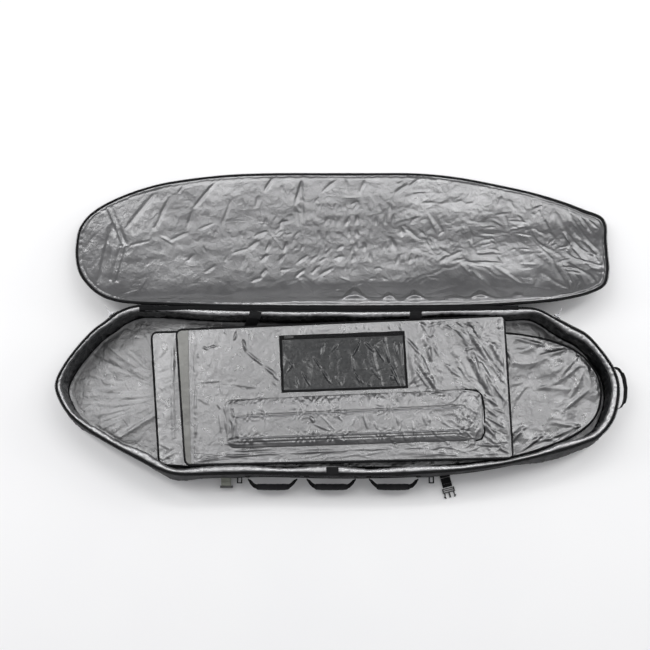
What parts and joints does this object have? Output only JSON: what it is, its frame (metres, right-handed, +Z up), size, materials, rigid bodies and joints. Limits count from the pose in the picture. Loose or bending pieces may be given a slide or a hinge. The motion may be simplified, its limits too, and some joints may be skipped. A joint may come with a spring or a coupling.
{
  "type": "padded board travel bag",
  "caption": "Open padded travel bag for surfboards or snowboards: deep lined tub, hinged full-length lid, folding padded dividers, pockets, zips, grips and buckled straps.",
  "frame": {"origin": "centre of the tub's underside, on the ground", "axes": "+X towards the tail (the rounded end with the end handle), +Y towards the hinge and the opened lid, +Z up out of the tub"},
  "size_m": [2.2016, 1.3376, 0.1725],
  "materials": {
    "black_shell": "coated black polyester",
    "silver_lining": "crinkled reflective silver",
    "foam": "closed-cell foam",
    "binding": "woven binding",
    "webbing": "woven webbing",
    "pale_webbing": "woven webbing",
    "coil": "coil zip",
    "buckle": "moulded acetal",
    "grip": "neoprene-covered foam",
    "film": "dark translucent film",
    "slider_metal": "black painted die-casting"
  },
  "bodies": {
    "tub": {"floor_skin": "black_shell", "floor_foam_pad": "foam", "floor_lining": "silver_lining", "gusset_front_skin": "black_shell", "gusset_back_skin": "black_shell", "gusset_front_foam": "foam", "gusset_back_foam": "foam", "gusset_front_lining": "silver_lining", "gusset_back_lining": "silver_lining", "rim_binding": "binding", "tub_zip_tape": "webbing", "tub_zip_coil": "coil", "handle_webbing_run": "webbing", "front_tie_tab": "webbing", "maker_patch": "binding", "tail_handle_anchor": "webbing", "strap_anchors": "webbing", "accessory_loops": "webbing", "hinge_tape": "black_shell"},
    "lid": {"lid_skin": "black_shell", "lid_foam": "foam", "lid_lining": "silver_lining", "lid_binding": "binding", "lid_zip_tape": "webbing", "lid_zip_coil": "coil", "lid_straps": "webbing", "female_buckles": "buckle"},
    "lower_divider": {"lower_divider_foam": "foam", "lower_divider_cover": "silver_lining", "lower_divider_binding": "binding", "back_tie_tabs": "webbing"},
    "upper_divider": {"upper_divider_foam": "foam", "upper_divider_cover": "silver_lining", "upper_divider_binding": "binding", "pocket_panel": "silver_lining", "divider_tie_tab": "webbing", "window_frame": "binding", "window_film": "film", "window_zip": "coil", "storage_pocket": "silver_lining", "storage_pocket_flap": "silver_lining"},
    "window_slider": {"window_zip_slider": "slider_metal"},
    "window_pull": {"window_zip_pull": "slider_metal"},
    "handle_left": {"handle_left_loop": "webbing", "handle_left_grip": "grip"},
    "handle_middle": {"handle_middle_loop": "webbing", "handle_middle_grip": "grip"},
    "handle_right": {"handle_right_loop": "webbing", "handle_right_grip": "grip"},
    "tail_handle": {"tail_handle_loop": "webbing", "tail_handle_pad": "grip"},
    "strap_left": {"strap_left_webbing": "pale_webbing"},
    "strap_right": {"strap_right_webbing": "webbing"},
    "buckle_left": {"buckle_left": "buckle"},
    "buckle_right": {"buckle_right": "buckle"},
    "slider_nose": {"zip_slider_nose": "slider_metal"},
    "pull_nose": {"zip_pull_nose": "slider_metal"},
    "slider_tail": {"zip_slider_tail": "slider_metal"},
    "pull_tail": {"zip_pull_tail": "slider_metal"}
  },
  "joints": [
    {"name": "lid_hinge", "type": "hinge", "parent": "tub", "child": "lid", "pos_m": [0, 0.325, 0.173], "axis": [-1, 0, 0], "range_deg": [-194.8, 0]},
    {"name": "lower_divider_fold", "type": "hinge", "parent": "tub", "child": "lower_divider", "pos_m": [0, 0.302, 0.16], "axis": [-1, 0, 0], "range_deg": [0, 55]},
    {"name": "upper_divider_fold", "type": "hinge", "parent": "lower_divider", "child": "upper_divider", "pos_m": [0, 0.302, 0.16], "axis": [-1, 0, 0], "range_deg": [0, 35]},
    {"name": "window_zip_slide", "type": "slide", "parent": "upper_divider", "child": "window_slider", "axis": [0.9994, 0.036, 0], "range_m": [0, 0.42]},
    {"name": "window_pull_lift", "type": "hinge", "parent": "window_slider", "child": "window_pull", "pos_m": [-0.2001, 0.2125, 0.158], "axis": [0.036, -0.9994, 0], "range_deg": [0, 150]},
    {"name": "handle_left_lift", "type": "hinge", "parent": "tub", "child": "handle_left", "pos_m": [-0.25, -0.327, 0.095], "axis": [-1, 0, 0], "range_deg": [0, 105]},
    {"name": "handle_middle_lift", "type": "hinge", "parent": "tub", "child": "handle_middle", "pos_m": [-0.026, -0.327, 0.095], "axis": [-1, 0, 0], "range_deg": [0, 105]},
    {"name": "handle_right_lift", "type": "hinge", "parent": "tub", "child": "handle_right", "pos_m": [0.212, -0.327, 0.095], "axis": [-1, 0, 0], "range_deg": [0, 105]},
    {"name": "tail_handle_lift", "type": "hinge", "parent": "tub", "child": "tail_handle", "pos_m": [1.066, 0.02, 0.112], "axis": [0, -1, 0], "range_deg": [0, 45]},
    {"name": "strap_left_swing", "type": "hinge", "parent": "tub", "child": "strap_left", "pos_m": [-0.431, -0.3205, 0.062], "axis": [-1, 0, 0], "range_deg": [0, 110]},
    {"name": "buckle_left_swing", "type": "hinge", "parent": "strap_left", "child": "buckle_left", "pos_m": [-0.431, -0.35341, 0.043], "axis": [-1, 0, 0], "range_deg": [-25, 60]},
    {"name": "strap_right_swing", "type": "hinge", "parent": "tub", "child": "strap_right", "pos_m": [0.419, -0.317, 0.0048], "axis": [-0.9703, -0.2419, 0], "range_deg": [0, 70]},
    {"name": "buckle_right_swing", "type": "hinge", "parent": "strap_right", "child": "buckle_right", "pos_m": [0.42916, -0.35775, 0.0048], "axis": [-0.9703, -0.2419, 0], "range_deg": [0, 20]},
    {"name": "zip_nose_slide", "type": "slide", "parent": "tub", "child": "slider_nose", "axis": [-0.7804, -0.6252, 0], "range_m": [0, 0.09]},
    {"name": "zip_nose_pull_swing", "type": "hinge", "parent": "slider_nose", "child": "pull_nose", "pos_m": [-0.88007, 0.30457, 0.1648], "axis": [0, 0, 1], "range_deg": [-70, 70]},
    {"name": "zip_tail_slide", "type": "slide", "parent": "tub", "child": "slider_tail", "axis": [0.8763, -0.4817, 0], "range_m": [0, 0.1]},
    {"name": "zip_tail_pull_swing", "type": "hinge", "parent": "slider_tail", "child": "pull_tail", "pos_m": [0.85221, 0.296, 0.1648], "axis": [0, 0, 1], "range_deg": [-70, 70]}
  ]
}
